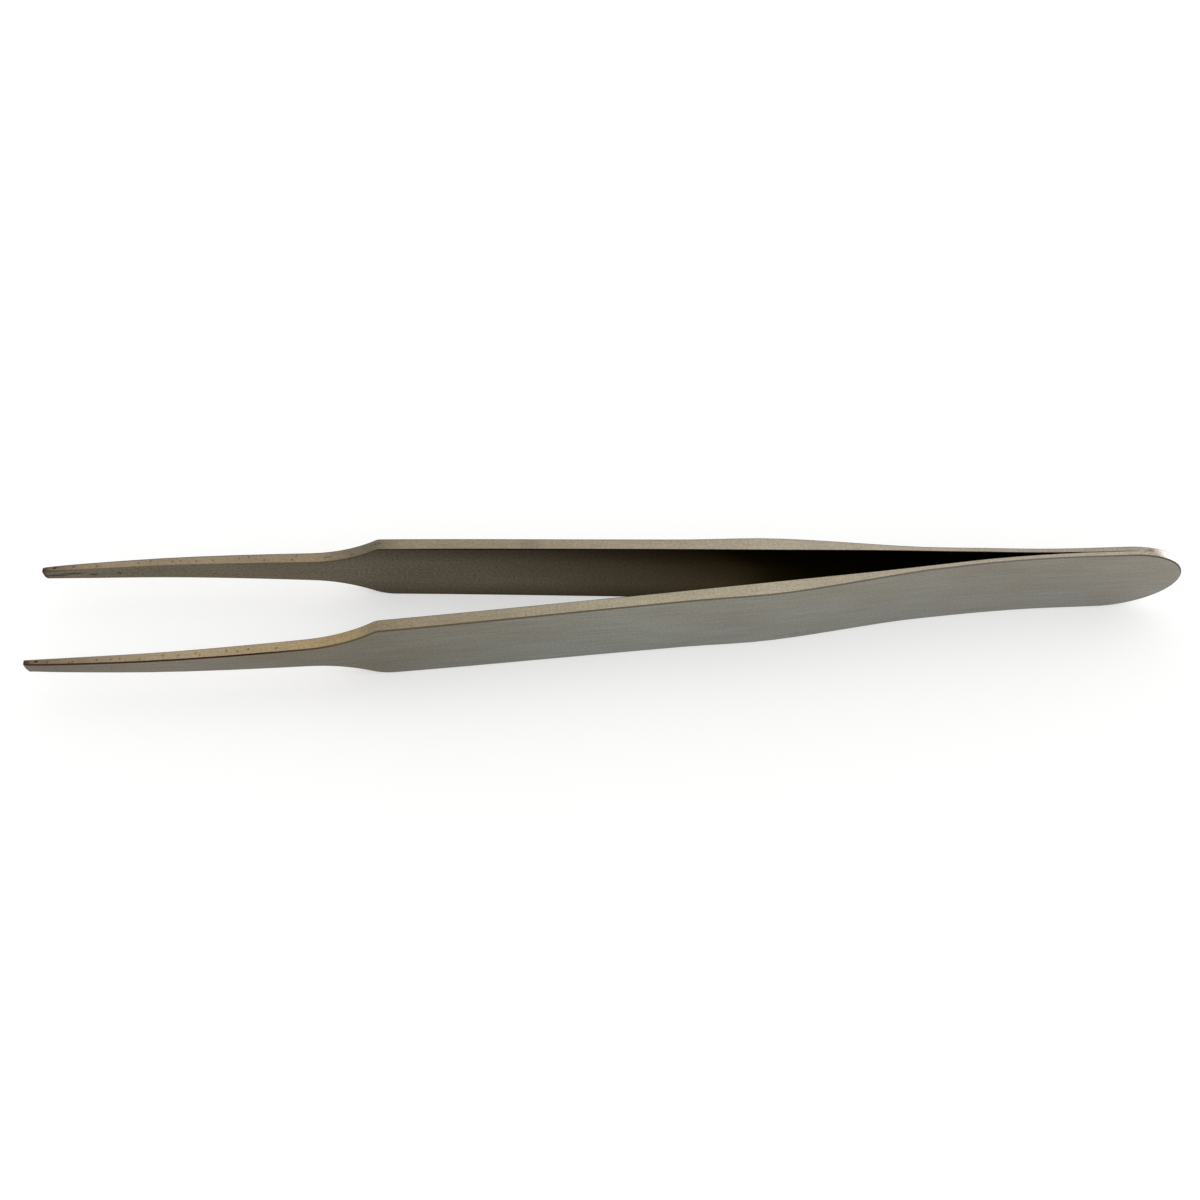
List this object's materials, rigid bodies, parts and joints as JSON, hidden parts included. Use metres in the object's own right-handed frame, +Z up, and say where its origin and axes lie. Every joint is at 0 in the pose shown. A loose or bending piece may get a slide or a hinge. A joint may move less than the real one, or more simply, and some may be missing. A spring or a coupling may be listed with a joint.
{
  "type": "flat tip watchmaker tweezers",
  "caption": "Stainless steel tweezers with slim flat tips, hollow-cut shoulders, tall flat spring legs and a thin round tail where the legs are welded face to face.",
  "frame": {"origin": "bottom centre of the bounding box, on the surface that the lower long edges stand on", "axes": "+X from the tips towards the welded tail, +Y from the near leg to the far leg, +Z up across the height of the legs"},
  "size_m": [0.12, 0.0124, 0.0099],
  "materials": {
    "satin_steel": "satin"
  },
  "bodies": {
    "root": {"near_leg": "satin_steel", "far_leg": "satin_steel"}
  },
  "joints": []
}
